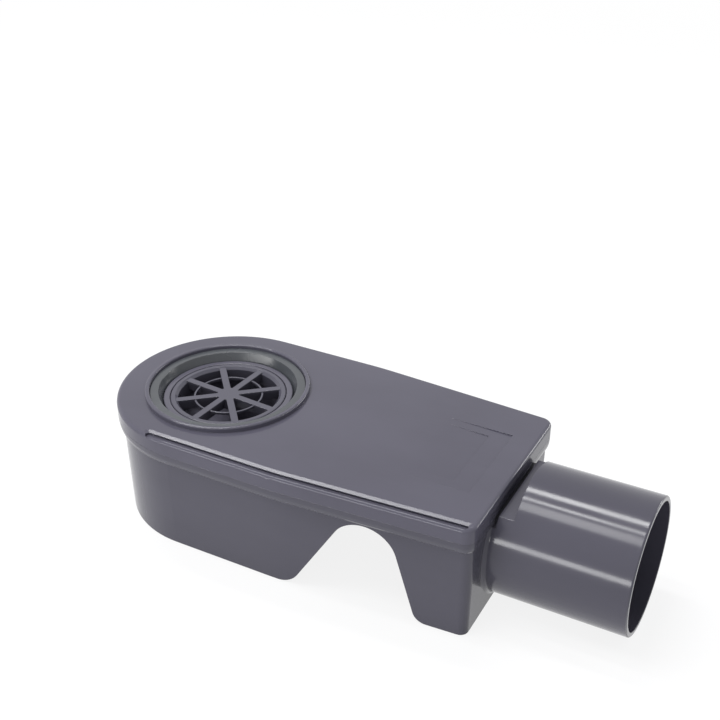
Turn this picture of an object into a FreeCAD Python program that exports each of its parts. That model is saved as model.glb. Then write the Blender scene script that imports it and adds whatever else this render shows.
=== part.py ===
import FreeCAD, Part
import math
import os

# Shower trap for a floor drain, millimetres and degrees.
# The origin is on the base plane under the inlet axis. +Z is up and +X runs to the outlet.

# Plan of the housing
HEAD_RADIUS = 43.0
PARALLEL_LENGTH = 46.0
COVER_END = 120.5
END_HALF_WIDTH = 38.3
CORNER_RADIUS = 4.5
CORNER_SHRINK = 0.5
MIN_CORNER_RADIUS = 0.5
FLANK_BEND_RADIUS = 150.0

# Heights of the housing
BAND_BOTTOM = 41.75
COVER_TOP = 47.7
FLANGE_HEIGHT = 0.5
ROLL_HEIGHT = 4.4
ROLL_STEPS = 4

# Trough
WALL_SETBACK = 1.8
END_WALL_SETBACK = 1.0
WALL_DRAFT = 0.02
TROUGH_WALL = 2.2
FLOOR_THICKNESS = 2.5

# Arch between the two feet, which carries the weir
ARCH_INLET_X = 51.0
ARCH_INLET_ANGLE = 58.2
ARCH_OUTLET_X = 100.2
ARCH_OUTLET_ANGLE = 74.3
ARCH_RADIUS = 12.7
INLET_FOOT_RADIUS = 9.7
OUTLET_FOOT_RADIUS = 5.2

# Outlet spigot
PIPE_DIAMETER = 50.0
PIPE_WALL = 1.8
PIPE_CLEARANCE = 0.2
PIPE_END = 170.2
PIPE_EDGE_RADIUS = 0.6
PIPE_ROOT_RADIUS = 2.0
SADDLE_LENGTH = 6.8
SADDLE_SLOT_WIDTH = 1.3
SADDLE_SLOT_DEPTH = 3.5

# Cover
COVER_PLATE = 2.5
COVER_BAND_WALL = 2.6
LOCATING_RIB_WIDTH = 1.6
LOCATING_RIB_DEPTH = 3.0
LOCATING_RIB_GAP = 0.2
COVER_EDGE_RADIUS = 1.5
CHANNEL_RIM = 0.8
CHANNEL_FLOOR = 2.4
CHANNEL_DEPTH = 1.25
CHANNEL_SLOPE = 1.4
CHANNEL_SLOPE_DEPTH = 0.4
CHANNEL_END_FULLNESS = 0.99
CHANNEL_START = -7.5
CHANNEL_END_MARGIN = 3.7

# Bare label panel and its plate, both sunk in the cover and tilted down to the outlet
PANEL_START = 84.9
PANEL_END = 110.7
PANEL_NEAR = -19.0
PANEL_FAR = 21.0
PANEL_DEPTH = 0.5
PLATE_START = 86.0
PLATE_END = 103.0
PLATE_NEAR = -14.5
PLATE_FAR = 17.0
PLATE_DEPTH = 0.7

# Inlet mouth and dip tube
MOUTH_TOP = 49.7
MOUTH_LIP_WALL = 1.8
MOUTH_LIP_RADIUS = 0.6
SOCKET_WALL = 2.2
SHELF_TOP = 37.8
SHELF_THICKNESS = 2.0
SHELF_WIDTH = 3.75
SHELF_EDGE_RADIUS = 0.6
TUBE_BOTTOM = 19.1
TUBE_TAPER = 1.2
TUBE_WALL = 1.8
TUBE_EDGE_RADIUS = 0.45
PAD_HEIGHT = 2.7
PAD_SPAN = 70.0
PAD_COUNT = 2
PAD_TURN = 141.5

# Seal ring
RING_HEIGHT = 7.8
RING_FIT = 0.15
RING_RIBS = 4
RING_RIB_DEPTH = 0.9
RING_RIB_LAND = 0.9
RING_RIB_SLOPE = 0.5
RING_FOOT_SETBACK = 0.45
RING_TOP_WIDTH = 3.2
RING_TAPER = 0.387
RING_SEAT_DROP = 4.394
RING_LIP_DROP = 6.85
RING_LEAD = 0.3

# Insert cup
INSERT_TURN = 42.0
CUP_RADIUS = 22.0
FLANGE_OVERHANG = 3.2
INSERT_FLANGE_THICKNESS = 1.4
INSERT_FLANGE_EDGE = 0.45
INSERT_SEAT_GAP = 0.1
RECESS_MARGIN = 0.8
RECESS_DEPTH = 1.2
RECESS_EDGE_RADIUS = 0.3
CUP_WALL = 1.1
CUP_DEPTH = 25.8
FLAT_INSET = 1.8
FLAT_HEIGHT = 8.0
FLAT_RUNOUT = 6.1
FLAT_BLEND_RADIUS = 12.0
COLLAR_OVERHANG = 0.6
COLLAR_BOTTOM = 4.4

# Slanted underside of the cup and the floor above it
SLANT_ANGLE = 36.5
SLANT_RISE = 1.6
CHEEK_END = -3.4
FLOOR_THICK = 1.2
FLOOR_ANGLE = 10.2
FLOOR_HEIGHT = 8.7
KNEE_RADIUS = 5.0
NOSE_X = 2.7
NOSE_RADIUS = 6.3

# O-ring and its groove under the collar
GROOVE_DEPTH = 0.4
GROOVE_HEIGHT = 2.4
O_RING_SECTION = 1.4
O_RING_GAP = 0.15

# Flap and its hinge
PIVOT_X = -6.6
PIVOT_RISE = 0.3
PIVOT_RADIUS = 1.0
PIVOT_FIT = 0.05
EAR_THICKNESS = 2.2
EAR_SETBACK = 0.4
EAR_BOSS_RADIUS = 2.2
EAR_LEFT = -9.5
EAR_RISE = 0.4
EAR_SHOULDER = 1.1
EAR_CLEARANCE = 0.25
EAR_CORNER_RADIUS = 0.4
STUB_LENGTH = 1.35
STUB_END_GAP = 0.25
HINGE_BAR_RADIUS = 1.5
HINGE_WEB = 1.5
FLAP_THICKNESS = 1.35
FLAP_SEAL_THICKNESS = 0.85
FLAP_SEAL_GAP = 0.1
FLAP_SEAL_WIDTH = 2.2
FLAP_SEAL_INSET = 0.4
ARM_TAIL = -8.2

# Counterweight, its pocket and the gusset that carries it
WEIGHT_X = -14.2
POCKET_RADIUS = 5.5
POCKET_RISE = 0.5
POCKET_HEIGHT = 11.8
POCKET_ROOF = 2.0
POCKET_EDGE_RADIUS = 0.4
GUSSET_BACK = 2.0
GUSSET_TOP = 0.6
GUSSET_SHOULDER = 2.0
GUSSET_FRONT = 2.8
WEIGHT_RADIUS = 4.3
WEIGHT_RECESS = 0.6
WEIGHT_CHAMFER = 0.3

# Strainer
STRAINER_TURN = -4.4
STRAINER_FIT = 0.25
SKIRT_FIT = 0.3
SKIRT_WALL = 0.9
SKIRT_DEPTH = 6.3
STRAINER_EDGE_RADIUS = 0.4
OPENING_CHAMFER = 1.1
SPOKE_COUNT = 8
SPOKE_WIDTH = 2.7
SPOKE_FOOT_WIDTH = 1.8
SPOKE_DROP = 0.4
SPOKE_DEPTH = 4.6
SPOKE_END_SETBACK = 0.06
HUB_RADIUS = 4.4
TIE_RADIUS = 13.2
TIE_WIDTH = 0.7
TIE_DROP = 0.75
TIE_HEIGHT = 0.9

# Places worked out from the sizes above
PIPE_RADIUS = PIPE_DIAMETER / 2
PIPE_AXIS = PIPE_RADIUS + PIPE_CLEARANCE
FLANGE_BOTTOM = BAND_BOTTOM - FLANGE_HEIGHT
WALL_TOP = FLANGE_BOTTOM - ROLL_HEIGHT
END_WALL_X = COVER_END - END_WALL_SETBACK - WALL_DRAFT * WALL_TOP
SADDLE_TOP = BAND_BOTTOM
SADDLE_SLOT_END = COVER_END + SADDLE_SLOT_WIDTH
SADDLE_END = COVER_END + SADDLE_LENGTH
INSERT_FLANGE_RADIUS = CUP_RADIUS + FLANGE_OVERHANG
RECESS_RADIUS = CUP_RADIUS + RECESS_MARGIN
COLLAR_RADIUS = CUP_RADIUS + COLLAR_OVERHANG
CUP_FLAT = CUP_RADIUS - FLAT_INSET
STRAINER_OPENING = CUP_RADIUS - CUP_WALL - SKIRT_FIT - SKIRT_WALL
RING_TOP_RADIUS = INSERT_FLANGE_RADIUS + INSERT_SEAT_GAP + RING_TAPER * RING_SEAT_DROP
RING_LIP_RADIUS = RING_TOP_RADIUS - RING_TAPER * RING_LIP_DROP
RING_RADIUS = RING_TOP_RADIUS + RING_TOP_WIDTH
MOUTH_RADIUS = RING_RADIUS + RING_FIT
SHELF_HOLE_RADIUS = MOUTH_RADIUS - SHELF_WIDTH
TUBE_BOTTOM_RADIUS = SHELF_HOLE_RADIUS - TUBE_TAPER
RING_BOTTOM = SHELF_TOP + PAD_HEIGHT
RING_TOP = RING_BOTTOM + RING_HEIGHT
INSERT_TOP = RING_TOP - RING_SEAT_DROP + INSERT_FLANGE_THICKNESS
FLAT_TOP = CUP_DEPTH - FLAT_HEIGHT
GROOVE_BOTTOM = COLLAR_BOTTOM + GROOVE_HEIGHT
GROOVE_RADIUS = CUP_RADIUS - GROOVE_DEPTH
PIVOT_DEPTH = CUP_DEPTH - PIVOT_RISE
EAR_BOTTOM = CUP_DEPTH - EAR_RISE
EAR_INNER = CUP_FLAT - EAR_SETBACK - EAR_THICKNESS
FLAP_TOP = CUP_DEPTH + FLAP_SEAL_GAP + FLAP_SEAL_THICKNESS
FLAP_BOTTOM = FLAP_TOP + FLAP_THICKNESS
FLAP_SEAL_LEFT = NOSE_X - FLOOR_THICK + FLAP_SEAL_INSET
POCKET_TOP = CUP_DEPTH - POCKET_RISE
POCKET_BOTTOM = POCKET_TOP + POCKET_HEIGHT
PAST = 1.0
FAR = 400.0


def in_plan(z):
    return lambda u, v: FreeCAD.Vector(u, v, z)


def in_side(y):
    return lambda u, v: FreeCAD.Vector(u, y, v)


def in_end(x):
    return lambda u, v: FreeCAD.Vector(x, u, v)


def rounded_wire(corners, place):
    """A closed wire through corners (u, v) or (u, v, radius), rounded by tangent arcs."""
    spans = []
    for i, corner in enumerate(corners):
        here = FreeCAD.Vector(corner[0], corner[1], 0)
        radius = corner[2] if len(corner) > 2 else 0
        if radius == 0:
            spans.append((here, here, here, 0))
            continue
        before = FreeCAD.Vector(*corners[i - 1][:2], 0) - here
        after = FreeCAD.Vector(*corners[(i + 1) % len(corners)][:2], 0) - here
        before.normalize()
        after.normalize()
        half = before.getAngle(after) / 2
        reach = radius / math.tan(half)
        middle = (before + after).normalize() * (radius / math.sin(half) - radius)
        spans.append((here + before * reach, here + middle, here + after * reach, radius))
    edges = []
    for i, (start, middle, end, radius) in enumerate(spans):
        if radius > 0:
            arc = [place(p.x, p.y) for p in (start, middle, end)]
            edges.append(Part.Arc(*arc).toShape())
        following = spans[(i + 1) % len(spans)][0]
        if end.distanceToPoint(following) > 1e-6:
            line = Part.LineSegment(place(end.x, end.y), place(following.x, following.y))
            edges.append(line.toShape())
    return Part.Wire(edges)


def prism(wire, along):
    return Part.Face(wire).extrude(along)


def cylinder(radius, bottom, top, x=0.0, y=0.0):
    return Part.makeCylinder(radius, top - bottom, FreeCAD.Vector(x, y, bottom))


def along_pipe(radius, start, end):
    base = FreeCAD.Vector(start, 0, PIPE_AXIS)
    return Part.makeCylinder(radius, end - start, base, FreeCAD.Vector(1, 0, 0))


def across(radius, y0, y1, x, z):
    """A rod that runs along Y from y0 to y1."""
    base = FreeCAD.Vector(x, min(y0, y1), z)
    return Part.makeCylinder(radius, abs(y1 - y0), base, FreeCAD.Vector(0, 1, 0))


def box(x0, x1, y0, y1, z0, z1):
    return Part.makeBox(x1 - x0, y1 - y0, z1 - z0, FreeCAD.Vector(x0, y0, z0))


def turned(profile):
    """A solid of revolution about Z from corners (radius, height) or (radius, height, rounding)."""
    face = Part.Face(rounded_wire(profile, in_side(0)))
    return face.revolve(FreeCAD.Vector(), FreeCAD.Vector(0, 0, 1), 360)


def edges_at(shape, z):
    """Edges that lie in the level plane z."""
    found = []
    for edge in shape.Edges:
        if abs(edge.BoundBox.ZMin - z) < 1e-4 and abs(edge.BoundBox.ZMax - z) < 1e-4:
            found.append(edge)
    return found


def housing_plan(setback, end_setback, z):
    """The housing's outline at height z: a round head, parallel flanks and a tapered tail."""
    r = HEAD_RADIUS - setback
    w = END_HALF_WIDTH - setback
    x = COVER_END - end_setback
    corner = max(CORNER_RADIUS - CORNER_SHRINK * setback, MIN_CORNER_RADIUS)
    corners = [
        (-r, -r, r),
        (PARALLEL_LENGTH, -r, FLANK_BEND_RADIUS),
        (x, -w, corner),
        (x, w, corner),
        (PARALLEL_LENGTH, r, FLANK_BEND_RADIUS),
        (-r, r, r),
    ]
    return rounded_wire(corners, in_plan(z))


def wall_plan(thickness, z):
    """The trough wall's face at height z, thickness inside its outer face."""
    lean = WALL_DRAFT * (WALL_TOP - z)
    return housing_plan(WALL_SETBACK + lean + thickness, END_WALL_SETBACK + lean + thickness, z)


def arch_lines(offset):
    """Corners of the trough's underside, offset into the water space."""
    left = math.radians(ARCH_INLET_ANGLE)
    right = math.radians(ARCH_OUTLET_ANGLE)
    inlet = ARCH_INLET_X - offset * (1 - math.cos(left)) / math.sin(left)
    outlet = ARCH_OUTLET_X + offset * (1 - math.cos(right)) / math.sin(right)
    rise = (outlet - inlet) / (1 / math.tan(left) + 1 / math.tan(right))
    return inlet, outlet, inlet + rise / math.tan(left), offset + rise


def above_floor(offset):
    """Everything above the trough's underside, offset upwards by a floor thickness."""
    inlet, outlet, apex_x, apex_z = arch_lines(offset)
    corners = [
        (-FAR, offset),
        (inlet, offset, INLET_FOOT_RADIUS - offset),
        (apex_x, apex_z, ARCH_RADIUS + offset),
        (outlet, offset, OUTLET_FOOT_RADIUS - offset),
        (FAR, offset),
        (FAR, FAR),
        (-FAR, FAR),
    ]
    return prism(rounded_wire(corners, in_side(-FAR)), FreeCAD.Vector(0, 2 * FAR, 0))


def trough_shell():
    """The trough before it is hollowed: leaning wall, then the rolled edge that carries the cover."""
    sections = [wall_plan(0, -PAST), wall_plan(0, WALL_TOP)]
    for step in range(ROLL_STEPS):
        turn = math.radians(90 * (ROLL_STEPS - 1 - step) / ROLL_STEPS)
        share = 1 - math.cos(turn)
        height = FLANGE_BOTTOM - ROLL_HEIGHT * math.sin(turn)
        sections.append(housing_plan(WALL_SETBACK * share, END_WALL_SETBACK * share, height))
    sections.append(housing_plan(0, 0, BAND_BOTTOM))
    return Part.makeLoft(sections, True, True).common(above_floor(0))


def spigot():
    """The outlet pipe before it is bored, with its root and the flat saddle by the cover."""
    disc = PIPE_RADIUS + 2 * PIPE_ROOT_RADIUS
    inside = END_WALL_X - TROUGH_WALL / 2
    pipe = turned([
        (0, inside),
        (disc, inside),
        (disc, END_WALL_X),
        (PIPE_RADIUS, END_WALL_X, PIPE_ROOT_RADIUS),
        (PIPE_RADIUS, PIPE_END, PIPE_EDGE_RADIUS),
        (0, PIPE_END),
    ])
    pipe.rotate(FreeCAD.Vector(), FreeCAD.Vector(0, 1, 0), 90)
    pipe.translate(FreeCAD.Vector(0, 0, PIPE_AXIS))
    pipe = pipe.common(above_floor(0))
    saddle = box(0, SADDLE_END, -disc, disc, SADDLE_TOP, FAR)
    slot = box(0, SADDLE_SLOT_END, -disc, disc, SADDLE_TOP - SADDLE_SLOT_DEPTH, FAR)
    return pipe.cut(saddle).cut(slot)


def outlet_bore():
    """The pipe's bore and its mouth in the end wall, which stays under the saddle and its slot."""
    radius = PIPE_RADIUS - PIPE_WALL
    wall_middle = END_WALL_X - TROUGH_WALL / 2
    bore = along_pipe(radius, wall_middle, PIPE_END + PAST)
    mouth = along_pipe(radius, wall_middle - TROUGH_WALL, wall_middle).common(above_floor(FLOOR_THICKNESS))
    bore = bore.fuse(mouth)
    under_saddle = SADDLE_TOP - PIPE_WALL
    under_slot = under_saddle - SADDLE_SLOT_DEPTH
    bore = bore.cut(box(0, SADDLE_END + PIPE_WALL, -radius, radius, under_saddle, FAR))
    return bore.cut(box(0, SADDLE_SLOT_END + PIPE_WALL, -radius, radius, under_slot, FAR))


def trap_body():
    """The trough: inlet chamber, arched weir, outlet chamber and outlet spigot in one moulding."""
    space = Part.makeLoft([
        wall_plan(TROUGH_WALL, -PAST),
        wall_plan(TROUGH_WALL, WALL_TOP),
        wall_plan(TROUGH_WALL, BAND_BOTTOM + PAST),
    ], True, True).common(above_floor(FLOOR_THICKNESS))
    body = trough_shell().fuse(spigot())
    return body.cut(space).cut(outlet_bore()).removeSplitter()


def channel_outline(outer, inner, run_out, z):
    """The channel at height z, between two setbacks from the cover's edge, with round ends."""
    radius = (inner - outer) / 2 * CHANNEL_END_FULLNESS
    start = CHANNEL_START - run_out
    end = COVER_END - CHANNEL_END_MARGIN + run_out
    slope = (HEAD_RADIUS - END_HALF_WIDTH) / (COVER_END - PARALLEL_LENGTH)
    corners = []
    for setback, direction in ((outer, 1), (inner, -1)):
        half = HEAD_RADIUS - setback
        tail = half - slope * (end - PARALLEL_LENGTH)
        run = [(start, half, radius), (PARALLEL_LENGTH, half, FLANK_BEND_RADIUS), (end, tail, radius)]
        corners += run[::direction]
    return rounded_wire([(x, -y, r) for x, y, r in corners], in_plan(z))


def channel():
    """The long channel along one flank of the cover, with a slope down to it from the plate."""
    middle = CHANNEL_RIM + CHANNEL_FLOOR / 2
    inner = CHANNEL_RIM + CHANNEL_FLOOR
    run_out = CHANNEL_FLOOR / 2
    groove = prism(channel_outline(CHANNEL_RIM, inner, run_out, COVER_TOP - CHANNEL_DEPTH),
                   FreeCAD.Vector(0, 0, CHANNEL_DEPTH + PAST))
    spread = 2 * CHANNEL_SLOPE
    slope = Part.makeLoft([
        channel_outline(middle, inner, run_out, COVER_TOP - CHANNEL_SLOPE_DEPTH),
        channel_outline(middle, inner + spread, run_out + spread, COVER_TOP + CHANNEL_SLOPE_DEPTH),
    ], True, True)
    return groove.fuse(slope)


def sunk_wedge(x0, x1, y0, y1, depth):
    """A pocket in the cover, flush at x0 and depth deep at x1."""
    corners = [(x0, COVER_TOP), (x1, COVER_TOP - depth), (x1, COVER_TOP + PAST), (x0, COVER_TOP + PAST)]
    return prism(rounded_wire(corners, in_side(y0)), FreeCAD.Vector(0, y1 - y0, 0))


def label_panel():
    """The bare label panel with its plate, one inside the other."""
    panel = sunk_wedge(PANEL_START, PANEL_END, PANEL_NEAR, PANEL_FAR, PANEL_DEPTH)
    return panel.fuse(sunk_wedge(PLATE_START, PLATE_END, PLATE_NEAR, PLATE_FAR, PLATE_DEPTH))


def inlet_socket():
    """The raised mouth, the shelf for the seal ring and the dip tube below it."""
    wall = MOUTH_RADIUS + SOCKET_WALL
    lip = MOUTH_RADIUS + MOUTH_LIP_WALL
    shelf_under = SHELF_TOP - SHELF_THICKNESS
    socket = turned([
        (TUBE_BOTTOM_RADIUS, TUBE_BOTTOM, TUBE_EDGE_RADIUS),
        (TUBE_BOTTOM_RADIUS + TUBE_WALL, TUBE_BOTTOM, TUBE_EDGE_RADIUS),
        (SHELF_HOLE_RADIUS + TUBE_WALL, shelf_under),
        (wall, shelf_under),
        (wall, COVER_TOP - PAST),
        (lip, COVER_TOP - PAST),
        (lip, MOUTH_TOP, MOUTH_LIP_RADIUS),
        (MOUTH_RADIUS, MOUTH_TOP, MOUTH_LIP_RADIUS),
        (MOUTH_RADIUS, SHELF_TOP),
        (SHELF_HOLE_RADIUS, SHELF_TOP, SHELF_EDGE_RADIUS),
    ])
    outside = MOUTH_RADIUS + SOCKET_WALL / 2
    for k in range(PAD_COUNT):
        pad = cylinder(outside, SHELF_TOP - SHELF_THICKNESS / 2, RING_BOTTOM)
        pad = pad.cut(cylinder(SHELF_HOLE_RADIUS + SHELF_EDGE_RADIUS, 0, FAR))
        wedge = Part.makeCylinder(FAR, FAR, FreeCAD.Vector(), FreeCAD.Vector(0, 0, 1), PAD_SPAN)
        turn = PAD_TURN - PAD_SPAN / 2 + 360 * k / PAD_COUNT
        wedge.rotate(FreeCAD.Vector(), FreeCAD.Vector(0, 0, 1), turn)
        socket = socket.fuse(pad.common(wedge))
    return socket


def lid():
    """The cover: a banded plate with its channel and label panel, and the inlet socket."""
    height = COVER_TOP - BAND_BOTTOM
    plate = prism(housing_plan(0, 0, BAND_BOTTOM), FreeCAD.Vector(0, 0, height))
    plate = plate.makeFillet(COVER_EDGE_RADIUS, edges_at(plate, COVER_TOP))
    hollow = prism(housing_plan(COVER_BAND_WALL, COVER_BAND_WALL, BAND_BOTTOM - PAST),
                   FreeCAD.Vector(0, 0, height - COVER_PLATE + PAST))
    plate = plate.cut(hollow)
    side = WALL_SETBACK + TROUGH_WALL + LOCATING_RIB_GAP
    end = END_WALL_SETBACK + TROUGH_WALL + LOCATING_RIB_GAP
    bottom = BAND_BOTTOM - LOCATING_RIB_DEPTH
    rise = FreeCAD.Vector(0, 0, COVER_TOP - COVER_PLATE / 2 - bottom)
    width = LOCATING_RIB_WIDTH
    rib = prism(housing_plan(side, end, bottom), rise)
    rib = rib.cut(prism(housing_plan(side + width, end + width, bottom), rise))
    opening = cylinder(MOUTH_RADIUS + SOCKET_WALL / 2, 0, FAR)
    cover = plate.fuse(rib).cut(opening).fuse(inlet_socket())
    cover = cover.cut(channel()).cut(label_panel())
    return cover.removeSplitter()


def seal_ring():
    """The ribbed rubber ring that stands on the shelf pads and carries the insert."""
    pitch = RING_HEIGHT / RING_RIBS
    crest = RING_RADIUS
    valley = RING_RADIUS - RING_RIB_DEPTH
    profile = [(RING_LIP_RADIUS, RING_TOP - RING_LIP_DROP), (RING_TOP_RADIUS, RING_TOP)]
    for k in range(RING_RIBS):
        top = RING_TOP - k * pitch
        profile += [(crest, top), (crest, top - RING_RIB_LAND)]
        profile += [(valley, top - RING_RIB_LAND - RING_RIB_SLOPE)]
    profile += [(crest - RING_FOOT_SETBACK, RING_BOTTOM), (RING_LIP_RADIUS + RING_LEAD, RING_BOTTOM)]
    return turned(profile)


def between_flats(half_width, bottom, top):
    """Space between the two side flats, whose planes run out upwards into the round wall."""
    spread = (CUP_RADIUS - CUP_FLAT) / FLAT_RUNOUT
    wide = half_width + spread * (top + FLAT_TOP)
    outline = [(half_width, bottom), (half_width, -FLAT_TOP, FLAT_BLEND_RADIUS), (wide, top),
               (-wide, top), (-half_width, -FLAT_TOP, FLAT_BLEND_RADIUS), (-half_width, bottom)]
    return prism(rounded_wire(outline, in_end(-CUP_RADIUS)), FreeCAD.Vector(2 * CUP_RADIUS, 0, 0))


def cup_space(wall, bottom, top):
    """The cup's outline as a solid, wall inside its outer face: round, with two side flats."""
    barrel = cylinder(CUP_RADIUS - wall, bottom, top)
    return barrel.common(between_flats(CUP_FLAT - wall, bottom, top))


def below_slant():
    """Everything under the cup's slanted underside, which ends where the cheeks go straight down."""
    foot = SLANT_RISE - CUP_DEPTH
    rise = math.tan(math.radians(SLANT_ANGLE)) * (FAR + CHEEK_END)
    corners = [(-FAR, foot + rise), (CHEEK_END, foot), (CHEEK_END, -FAR), (-FAR, -FAR)]
    return prism(rounded_wire(corners, in_side(-FAR)), FreeCAD.Vector(0, 2 * FAR, 0))


def below_floor(drop):
    """Everything drop or more under the cup's floor: a ramp, a shallow fall and an upright nose."""
    steep = math.radians(SLANT_ANGLE)
    shallow = math.radians(FLOOR_ANGLE)
    nose_x = NOSE_X - drop
    nose_z = FLOOR_HEIGHT - CUP_DEPTH + drop * math.tan(shallow) - drop / math.cos(shallow)
    ramp_z = SLANT_RISE - CUP_DEPTH + (FLOOR_THICK - drop) / math.cos(steep)
    back = nose_x - CHEEK_END
    run = (ramp_z - nose_z - back * math.tan(steep)) / (math.tan(shallow) - math.tan(steep))
    knee = (nose_x - run, nose_z + run * math.tan(shallow), KNEE_RADIUS + drop)
    corners = [
        (-FAR, ramp_z + (FAR + CHEEK_END) * math.tan(steep)),
        knee,
        (nose_x, nose_z, NOSE_RADIUS - drop),
        (nose_x, -FAR),
        (-FAR, -FAR),
    ]
    return prism(rounded_wire(corners, in_side(-FAR)), FreeCAD.Vector(0, 2 * FAR, 0))


def seated_insert(shape):
    """Turns and lowers a piece of the insert from its own frame to its seat in the ring."""
    shape = shape.copy()
    shape.rotate(FreeCAD.Vector(), FreeCAD.Vector(0, 0, 1), INSERT_TURN)
    shape.translate(FreeCAD.Vector(0, 0, INSERT_TOP))
    return shape


def ear(side):
    """One hinge ear that hangs from the floor inside the cup's cheek."""
    corners = [
        (EAR_LEFT, 0),
        (EAR_LEFT, -EAR_BOTTOM, EAR_CORNER_RADIUS),
        (PIVOT_X, -EAR_BOTTOM),
        (CHEEK_END, -PIVOT_DEPTH + EAR_SHOULDER, EAR_CORNER_RADIUS),
        (CHEEK_END, 0),
    ]
    start = side * EAR_INNER
    plate = prism(rounded_wire(corners, in_side(start)), FreeCAD.Vector(0, side * EAR_THICKNESS, 0))
    plate = plate.common(below_floor(FLOOR_THICK / 2)).common(cylinder(CUP_RADIUS, -FAR, 0))
    boss = across(EAR_BOSS_RADIUS, start, start + side * EAR_THICKNESS, PIVOT_X, -PIVOT_DEPTH)
    return plate.fuse(boss)


def insert_cup():
    """The lift-out cup: flange with the strainer's recess, collar, groove, floor and hinge ears."""
    bore = CUP_RADIUS - CUP_WALL
    head = turned([
        (bore, -GROOVE_BOTTOM - PAST),
        (GROOVE_RADIUS, -GROOVE_BOTTOM - PAST),
        (GROOVE_RADIUS, -COLLAR_BOTTOM),
        (COLLAR_RADIUS, -COLLAR_BOTTOM),
        (COLLAR_RADIUS, -INSERT_FLANGE_THICKNESS),
        (INSERT_FLANGE_RADIUS, -INSERT_FLANGE_THICKNESS),
        (INSERT_FLANGE_RADIUS, 0, INSERT_FLANGE_EDGE),
        (RECESS_RADIUS, 0, RECESS_EDGE_RADIUS),
        (RECESS_RADIUS, -RECESS_DEPTH),
        (bore, -RECESS_DEPTH, RECESS_EDGE_RADIUS),
    ])
    outer = cup_space(0, -CUP_DEPTH, -GROOVE_BOTTOM).cut(below_slant())
    inner = cup_space(CUP_WALL, -CUP_DEPTH - PAST, PAST).cut(below_floor(0))
    hollow = cup_space(CUP_WALL, -CUP_DEPTH - PAST, PAST).common(below_floor(FLOOR_THICK))
    body = outer.cut(inner).cut(hollow).fuse(ear(-1)).fuse(ear(1)).fuse(head)
    for side in (-1, 1):
        blind_end = side * (EAR_INNER - EAR_CLEARANCE + STUB_LENGTH + STUB_END_GAP)
        hole = across(PIVOT_RADIUS + PIVOT_FIT, 0, blind_end, PIVOT_X, -PIVOT_DEPTH)
        body = body.cut(hole)
    return seated_insert(body.removeSplitter())


def o_ring():
    radius = O_RING_SECTION / 2
    centre = FreeCAD.Vector(0, 0, -COLLAR_BOTTOM - O_RING_GAP - radius)
    return seated_insert(Part.makeTorus(GROOVE_RADIUS + radius, radius, centre))


def flap_plan(inset, left, bottom, top):
    """The flap's outline as a solid: the cup's bottom outline to the right of left."""
    disc = cylinder(CUP_RADIUS - inset, bottom, top)
    flats = box(left, CUP_RADIUS, -CUP_FLAT + inset, CUP_FLAT - inset, bottom, top)
    return disc.common(flats)


def flap():
    """The tilting flap with its hinge bar, arm and the pocket for the counterweight."""
    half = EAR_INNER - EAR_CLEARANCE
    plate = flap_plan(0, CHEEK_END, -FLAP_BOTTOM, -FLAP_TOP)
    tongue = box(ARM_TAIL, 0, -half, half, -FLAP_BOTTOM, -FLAP_TOP)
    arm = box(WEIGHT_X, ARM_TAIL, -POCKET_RADIUS, POCKET_RADIUS, -FLAP_BOTTOM, -FLAP_TOP)
    pocket = cylinder(POCKET_RADIUS, -POCKET_BOTTOM, -POCKET_TOP, WEIGHT_X)
    pocket = pocket.makeFillet(POCKET_EDGE_RADIUS, edges_at(pocket, -POCKET_TOP))
    corners = [
        (WEIGHT_X - GUSSET_BACK, -POCKET_TOP),
        (WEIGHT_X + GUSSET_TOP, -POCKET_TOP),
        (WEIGHT_X + GUSSET_SHOULDER, -FLAP_TOP),
        (WEIGHT_X + GUSSET_FRONT, -FLAP_BOTTOM),
        (WEIGHT_X - GUSSET_BACK, -POCKET_BOTTOM),
    ]
    gusset = prism(rounded_wire(corners, in_side(-POCKET_RADIUS)), FreeCAD.Vector(0, 2 * POCKET_RADIUS, 0))
    bar = across(HINGE_BAR_RADIUS, -half, half, PIVOT_X, -PIVOT_DEPTH)
    stubs = across(PIVOT_RADIUS, -half - STUB_LENGTH, half + STUB_LENGTH, PIVOT_X, -PIVOT_DEPTH)
    web = box(PIVOT_X - HINGE_WEB / 2, PIVOT_X + HINGE_WEB / 2, -half, half, -FLAP_BOTTOM, -PIVOT_DEPTH)
    shape = plate.multiFuse([tongue, arm, pocket, gusset, bar, stubs, web])
    seat = cylinder(WEIGHT_RADIUS, -POCKET_BOTTOM - PAST, -POCKET_TOP - POCKET_ROOF, WEIGHT_X)
    return seated_insert(shape.cut(seat).removeSplitter())


def flap_seal():
    """The soft gasket glued to the flap, which meets the cup's lower edge and the floor's nose."""
    low = -FLAP_TOP
    high = -CUP_DEPTH - FLAP_SEAL_GAP
    outer = flap_plan(FLAP_SEAL_INSET, FLAP_SEAL_LEFT, low, high)
    inset = FLAP_SEAL_INSET + FLAP_SEAL_WIDTH
    return seated_insert(outer.cut(flap_plan(inset, FLAP_SEAL_LEFT + FLAP_SEAL_WIDTH, low, high)))


def counterweight():
    slug = cylinder(WEIGHT_RADIUS, -POCKET_BOTTOM + WEIGHT_RECESS, -POCKET_TOP - POCKET_ROOF, WEIGHT_X)
    return seated_insert(slug.makeChamfer(WEIGHT_CHAMFER, slug.Edges))


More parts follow.
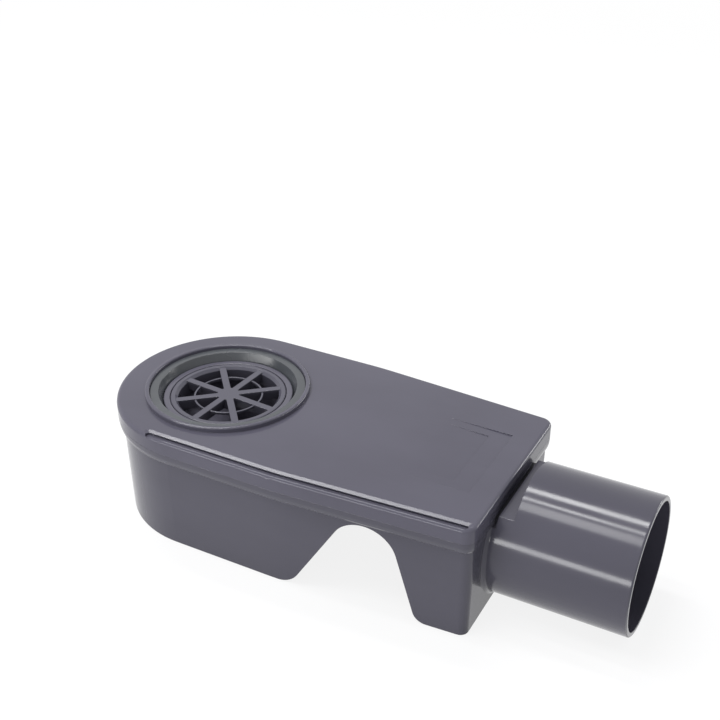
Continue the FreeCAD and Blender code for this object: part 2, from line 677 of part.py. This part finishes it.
def strainer():
    """The round strainer: flange and skirt, eight webs from a hub and a thin tie ring."""
    flange = RECESS_RADIUS - STRAINER_FIT
    skirt = STRAINER_OPENING + SKIRT_WALL
    shape = turned([
        (STRAINER_OPENING, -SKIRT_DEPTH),
        (skirt, -SKIRT_DEPTH),
        (skirt, -RECESS_DEPTH),
        (flange, -RECESS_DEPTH),
        (flange, 0, STRAINER_EDGE_RADIUS),
        (STRAINER_OPENING + OPENING_CHAMFER, 0),
        (STRAINER_OPENING, -OPENING_CHAMFER),
    ])
    top = SPOKE_WIDTH / 2
    foot = SPOKE_FOOT_WIDTH / 2
    profile = [(-foot, -SPOKE_DEPTH), (foot, -SPOKE_DEPTH), (top, -RECESS_DEPTH), (top, -SPOKE_DROP),
               (-top, -SPOKE_DROP), (-top, -RECESS_DEPTH)]
    spoke = prism(rounded_wire(profile, in_end(0)), FreeCAD.Vector(skirt - SPOKE_END_SETBACK, 0, 0))
    pieces = [cylinder(HUB_RADIUS, -SPOKE_DEPTH, -SPOKE_DROP)]
    for k in range(SPOKE_COUNT):
        turned_spoke = spoke.copy()
        angle = STRAINER_TURN + 360 * k / SPOKE_COUNT
        turned_spoke.rotate(FreeCAD.Vector(), FreeCAD.Vector(0, 0, 1), angle)
        pieces.append(turned_spoke)
    tie = cylinder(TIE_RADIUS + TIE_WIDTH / 2, -TIE_DROP - TIE_HEIGHT, -TIE_DROP)
    pieces.append(tie.cut(cylinder(TIE_RADIUS - TIE_WIDTH / 2, -FAR, FAR)))
    shape = shape.multiFuse(pieces).removeSplitter()
    shape.translate(FreeCAD.Vector(0, 0, INSERT_TOP))
    return shape


def main():
    os.makedirs("parts", exist_ok=True)
    builders = [trap_body, lid, seal_ring, insert_cup, o_ring, flap, flap_seal, counterweight, strainer]
    for build in builders:
        shape = build()
        shape.exportStep("parts/%s.step" % build.__name__)
        solids = len(shape.Solids)
        print(build.__name__, solids, "solid, volume %.1f mm3, valid" % shape.Volume, shape.isValid())


main()
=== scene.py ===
import math

import bpy
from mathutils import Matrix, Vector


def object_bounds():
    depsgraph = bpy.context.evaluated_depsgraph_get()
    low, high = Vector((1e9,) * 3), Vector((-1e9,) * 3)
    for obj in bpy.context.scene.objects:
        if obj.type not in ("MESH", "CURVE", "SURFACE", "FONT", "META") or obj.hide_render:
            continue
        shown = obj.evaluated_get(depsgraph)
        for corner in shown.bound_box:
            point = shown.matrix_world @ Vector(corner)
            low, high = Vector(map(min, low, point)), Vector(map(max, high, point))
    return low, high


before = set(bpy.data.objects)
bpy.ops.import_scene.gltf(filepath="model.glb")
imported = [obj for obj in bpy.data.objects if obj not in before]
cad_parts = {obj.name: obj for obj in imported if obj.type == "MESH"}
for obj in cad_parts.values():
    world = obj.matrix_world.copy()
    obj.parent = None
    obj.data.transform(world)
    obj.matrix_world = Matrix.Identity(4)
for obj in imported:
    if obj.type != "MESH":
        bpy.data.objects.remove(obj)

cad_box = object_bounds()

# Trough
# The lower half of the housing: two water chambers with the arched weir between them, and the
# outlet spigot. It is injection moulded in one shot from grey polypropylene and stands on its feet.

trough_grey = (0.058, 0.056, 0.073)
trough_gloss = 0.14
edge_rounding = 0.0004


def new_material(name):
    material = bpy.data.materials.new(name)
    material.use_nodes = True
    nodes = material.node_tree.nodes
    return material, nodes, material.node_tree.links, nodes["Principled BSDF"]


def object_space(nodes, links, scale):
    """Coordinates fixed to the piece in metres, stretched along each axis."""
    place = nodes.new("ShaderNodeTexCoord")
    stretch = nodes.new("ShaderNodeMapping")
    stretch.inputs["Scale"].default_value = scale
    links.new(place.outputs["Object"], stretch.inputs["Vector"])
    return stretch.outputs["Vector"]


def noise(nodes, links, vector, scale, detail, roughness=0.5):
    texture = nodes.new("ShaderNodeTexNoise")
    texture.inputs["Scale"].default_value = scale
    texture.inputs["Detail"].default_value = detail
    texture.inputs["Roughness"].default_value = roughness
    links.new(vector, texture.inputs["Vector"])
    return texture.outputs["Fac"]


def ramp(nodes, links, value, stops):
    """A colour ramp with (position, colour) stops, fed by value."""
    band = nodes.new("ShaderNodeValToRGB")
    elements = band.color_ramp.elements
    while len(elements) < len(stops):
        elements.new(0.5)
    for element, (position, colour) in zip(elements, stops):
        element.position = position
        element.color = (*colour, 1.0)
    links.new(value, band.inputs["Fac"])
    return band.outputs["Color"]


def spread(nodes, links, value, low, high):
    """Maps the middle of a noise value to low and high."""
    change = nodes.new("ShaderNodeMapRange")
    change.inputs["From Min"].default_value = 0.3
    change.inputs["From Max"].default_value = 0.7
    change.inputs["To Min"].default_value = low
    change.inputs["To Max"].default_value = high
    links.new(value, change.inputs["Value"])
    return change.outputs["Result"]


def bump(nodes, links, height, strength, distance, shader, rounding=edge_rounding):
    """Fine relief over edges that are softly broken, as a mould leaves them."""
    relief = nodes.new("ShaderNodeBump")
    relief.inputs["Strength"].default_value = strength
    relief.inputs["Distance"].default_value = distance
    links.new(height, relief.inputs["Height"])
    edges = nodes.new("ShaderNodeBevel")
    edges.samples = 6
    edges.inputs["Radius"].default_value = rounding
    links.new(edges.outputs["Normal"], relief.inputs["Normal"])
    links.new(relief.outputs["Normal"], shader.inputs["Normal"])


def moulded_plastic(name, colour, roughness, flow=(1, 1, 1), rounding=edge_rounding):
    """Glossy grey moulding: faint flow marks in the colour, a slightly uneven gloss, a fine skin."""
    material, nodes, links, shader = new_material(name)
    darker = tuple(c * 0.93 for c in colour)
    lighter = tuple(c * 1.06 for c in colour)
    vector = object_space(nodes, links, flow)
    clouds = noise(nodes, links, vector, 26.0, 4.0)
    links.new(ramp(nodes, links, clouds, [(0.32, darker), (0.5, colour), (0.7, lighter)]),
              shader.inputs["Base Color"])
    gloss = noise(nodes, links, vector, 90.0, 5.0, 0.6)
    links.new(spread(nodes, links, gloss, roughness - 0.03, roughness + 0.03), shader.inputs["Roughness"])
    skin = noise(nodes, links, object_space(nodes, links, (1, 1, 1)), 2600.0, 3.0)
    bump(nodes, links, skin, 0.03, 0.00002, shader, rounding)
    shader.inputs["IOR"].default_value = 1.49
    shader.inputs["Specular IOR Level"].default_value = 0.32
    return material


def dress(node, material):
    """Gives a carried-over part its material."""
    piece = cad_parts[node]
    piece.data.materials.clear()
    piece.data.materials.append(material)
    return piece


trough_plastic = moulded_plastic("trough plastic", trough_grey, trough_gloss, (0.5, 1.0, 1.6))
dress("trap_body", trough_plastic)

# Cover
# The flat cover with its raised round mouth, the shelf for the seal ring and the dip tube below.
# It is moulded in the same grey plastic and welded to the rim of the trough.

cover_grey = (0.070, 0.067, 0.089)
cover_gloss = 0.15
cover_rounding = 0.00012

cover_plastic = moulded_plastic("cover plastic", cover_grey, cover_gloss, (0.6, 1.0, 1.0), cover_rounding)
dress("lid", cover_plastic)

# Seal ring
# A ring of dark synthetic rubber with four ribs round the outside and a conical lip inside.
# It is moulded, pushed by hand into the mouth and stands on the raised pads of the shelf.

ring_rubber = (0.046, 0.050, 0.056)
ring_gloss = 0.22


def moulded_rubber(name, colour, roughness):
    """Dark rubber: a soft sheen, a faint bloom in patches and a fine grain."""
    material, nodes, links, shader = new_material(name)
    bloom = tuple(c * 1.2 + 0.002 for c in colour)
    vector = object_space(nodes, links, (1, 1, 1))
    patches = noise(nodes, links, vector, 45.0, 3.0, 0.5)
    links.new(ramp(nodes, links, patches, [(0.4, colour), (0.72, bloom)]), shader.inputs["Base Color"])
    links.new(spread(nodes, links, patches, roughness - 0.04, roughness + 0.08), shader.inputs["Roughness"])
    grain = noise(nodes, links, vector, 3500.0, 2.0)
    bump(nodes, links, grain, 0.06, 0.00002, shader)
    shader.inputs["IOR"].default_value = 1.52
    return material


dress("seal_ring", moulded_rubber("ring rubber", ring_rubber, ring_gloss))

# Insert cup
# The lift-out cup that hangs by its flange in the seal ring, with the slanted floor and the two
# hinge ears. It is a thin-walled moulding in the same grey plastic.

# The insert's grey is lighter than the trough's grey of the same plastic: painted reflection, standing in
# for the bright sheen on its top faces.
insert_grey_painted_reflection = (0.080, 0.077, 0.099)
insert_gloss = 0.14

dress("insert_cup", moulded_plastic("insert plastic painted reflection", insert_grey_painted_reflection, insert_gloss))

# O-ring
# A thin rubber ring under the insert's collar that seals the insert in the drain above.
# It is stretched over the cup and rolled up against the collar.

o_ring_rubber = (0.014, 0.015, 0.016)
o_ring_gloss = 0.2

dress("o_ring", moulded_rubber("cord rubber", o_ring_rubber, o_ring_gloss))

# Flap
# The tilting plate that closes the cup from below, with its arm and the pocket for the weight.
# It is moulded in the same grey plastic as the cup and snaps into the ears by its two stub pins.

flap_grey = (0.092, 0.089, 0.112)
flap_gloss = 0.16

dress("flap", moulded_plastic("flap plastic", flap_grey, flap_gloss))

# Flap seal
# A flat gasket of soft dark rubber on the rim of the flap, glued down.
# It meets the lower edge of the cup when the weight holds the flap shut.

gasket_rubber = (0.018, 0.019, 0.021)
gasket_gloss = 0.4

dress("flap_seal", moulded_rubber("gasket rubber", gasket_rubber, gasket_gloss))

# Counterweight
# A short slug of turned steel that holds the flap shut while no water flows.
# It is pressed into the pocket at the end of the flap's arm, from below.

steel_dull = (0.42, 0.42, 0.43)
steel_bright = (0.56, 0.56, 0.57)

weight_material, nodes, links, shader = new_material("turned steel")
turning = noise(nodes, links, object_space(nodes, links, (1, 1, 60)), 120.0, 3.0)
links.new(ramp(nodes, links, turning, [(0.3, steel_dull), (0.7, steel_bright)]),
          shader.inputs["Base Color"])
links.new(spread(nodes, links, turning, 0.26, 0.4), shader.inputs["Roughness"])
bump(nodes, links, turning, 0.15, 0.00002, shader)
shader.inputs["Metallic"].default_value = 1.0
dress("counterweight", weight_material)

# Strainer
# The round grille in the recess of the insert, which keeps hair and stones out of the trap.
# It is moulded in one piece with eight deep spokes and a thin ring that ties them.

# Its grey is lighter than the trough's grey of the same plastic: painted reflection, standing in for the
# sheen on its top faces.
strainer_grey_painted_reflection = (0.070, 0.068, 0.088)
strainer_gloss = 0.14

dress("strainer", moulded_plastic("strainer plastic painted reflection", strainer_grey_painted_reflection, strainer_gloss))

# Floor
# A plain pale sheet that the trap stands on. It is not part of the object.
# The camera sees it as white, with the trap's soft shadow kept on it and no horizon far behind it.

floor_size = 6.0
floor_gap = 0.0002
floor_height = cad_box[0][2] - floor_gap
shadow_radius = 0.35
white_radius = 1.1
white_share = 0.85

bpy.ops.mesh.primitive_plane_add(size=floor_size, location=(0.0, 0.0, floor_height))
floor = bpy.context.object
floor.name = "floor"
floor_material, nodes, links, shader = new_material("pale floor")
shader.inputs["Base Color"].default_value = (0.86, 0.86, 0.87, 1.0)
shader.inputs["Roughness"].default_value = 0.9
shader.inputs["Specular IOR Level"].default_value = 0.1
white = nodes.new("ShaderNodeEmission")
white.inputs["Color"].default_value = (1.0, 1.0, 1.0, 1.0)
white.inputs["Strength"].default_value = 1.0


def seen_directly(nodes, links):
    """1 for a ray from the camera, a mirror or a clear body, 0 for the light that falls on things."""
    path = nodes.new("ShaderNodeLightPath")
    total = path.outputs["Is Camera Ray"]
    for ray in ("Is Glossy Ray", "Is Transmission Ray"):
        either = nodes.new("ShaderNodeMath")
        either.operation = "MAXIMUM"
        links.new(total, either.inputs[0])
        links.new(path.outputs[ray], either.inputs[1])
        total = either.outputs["Value"]
    return total


radius = nodes.new("ShaderNodeVectorMath")
radius.operation = "LENGTH"
links.new(object_space(nodes, links, (1, 1, 1)), radius.inputs[0])
whiteness = nodes.new("ShaderNodeMapRange")
whiteness.inputs["From Min"].default_value = shadow_radius
whiteness.inputs["From Max"].default_value = white_radius
whiteness.inputs["To Min"].default_value = white_share
whiteness.inputs["To Max"].default_value = 1.0
links.new(radius.outputs["Value"], whiteness.inputs["Value"])
seen = nodes.new("ShaderNodeMath")
seen.operation = "MULTIPLY"
links.new(seen_directly(nodes, links), seen.inputs[0])
links.new(whiteness.outputs["Result"], seen.inputs[1])
blend = nodes.new("ShaderNodeMixShader")
links.new(seen.outputs["Value"], blend.inputs["Fac"])
links.new(shader.outputs["BSDF"], blend.inputs[1])
links.new(white.outputs["Emission"], blend.inputs[2])
links.new(blend.outputs["Shader"], nodes["Material Output"].inputs["Surface"])
floor.data.materials.append(floor_material)

# Light
# Soft boxes round the table: a weak high one on the left, low ones in front and behind the outlet
# for the band on the spigot and the bright edges, three overhead for streaks, and a dim surround.

surround_strength = 0.6
middle = (0.09, 0.0, 0.03)
strip_place = -0.30
strip_height = 1.0
strip_length = 0.75
strips = ((0.20, 0.13, 6.2), (-0.09, 0.07, 3.0), (-0.34, 0.24, 4.2))

world = bpy.data.worlds.new("studio")
bpy.context.scene.world = world
world.use_nodes = True
nodes = world.node_tree.nodes
links = world.node_tree.links
surround = nodes["Background"]
surround.inputs["Color"].default_value = (0.95, 0.96, 1.0, 1.0)
surround.inputs["Strength"].default_value = surround_strength
backdrop = nodes.new("ShaderNodeBackground")
backdrop.inputs["Color"].default_value = (1.0, 1.0, 1.0, 1.0)
backdrop.inputs["Strength"].default_value = 1.0
pick = nodes.new("ShaderNodeMixShader")
links.new(seen_directly(nodes, links), pick.inputs["Fac"])
links.new(surround.outputs["Background"], pick.inputs[1])
links.new(backdrop.outputs["Background"], pick.inputs[2])
links.new(pick.outputs["Shader"], nodes["World Output"].inputs["Surface"])


def soft_box(name, location, aim, width, depth, watts):
    lamp = bpy.data.lights.new(name, "AREA")
    lamp.shape = "RECTANGLE"
    lamp.size = width
    lamp.size_y = depth
    lamp.energy = watts
    holder = bpy.data.objects.new(name, lamp)
    bpy.context.collection.objects.link(holder)
    holder.location = location
    toward = (aim[0] - location[0], aim[1] - location[1], aim[2] - location[2])
    flat = math.hypot(toward[0], toward[1])
    tilt = math.atan2(flat, -toward[2])
    turn = math.atan2(toward[1], toward[0]) - math.pi / 2
    holder.rotation_euler = (tilt, 0.0, turn)
    return holder


def around(azimuth, elevation, distance):
    """A place seen from the trap at an azimuth from +X and an elevation, in degrees."""
    turn = math.radians(azimuth)
    rise = math.radians(elevation)
    return (middle[0] + distance * math.cos(rise) * math.cos(turn),
            middle[1] + distance * math.cos(rise) * math.sin(turn),
            middle[2] + distance * math.sin(rise))


soft_box("key", around(205, 62, 1.2), middle, 0.7, 0.7, 0.8)
soft_box("front band", (-0.58, -1.30, 0.14), (-0.58, 0.0, 0.03), 1.35, 0.18, 10.0)
soft_box("end band", around(55, 8, 1.2), middle, 0.6, 0.20, 3.6)
for reach, depth, watts in strips:
    soft_box("overhead strip %.2f" % reach, (strip_place, reach, strip_height), (strip_place, 0.0, 0.0),
             strip_length, depth, watts)

# Camera
# It looks down on the trap from the photograph's side, with the lens that the perspective gives.

camera_place = (0.22637, -0.31334, 0.27991)
camera_elevation = 29.846
camera_azimuth = 28.18
camera_lens = 57.25

lens = bpy.data.cameras.new("camera")
lens.lens = camera_lens
lens.sensor_width = 36.0
lens.clip_start = 0.01
camera = bpy.data.objects.new("camera", lens)
bpy.context.collection.objects.link(camera)
camera.location = camera_place
camera.rotation_euler = (math.radians(90 - camera_elevation), 0.0, math.radians(camera_azimuth))
bpy.context.scene.camera = camera
bpy.context.scene.view_settings.view_transform = "Standard"
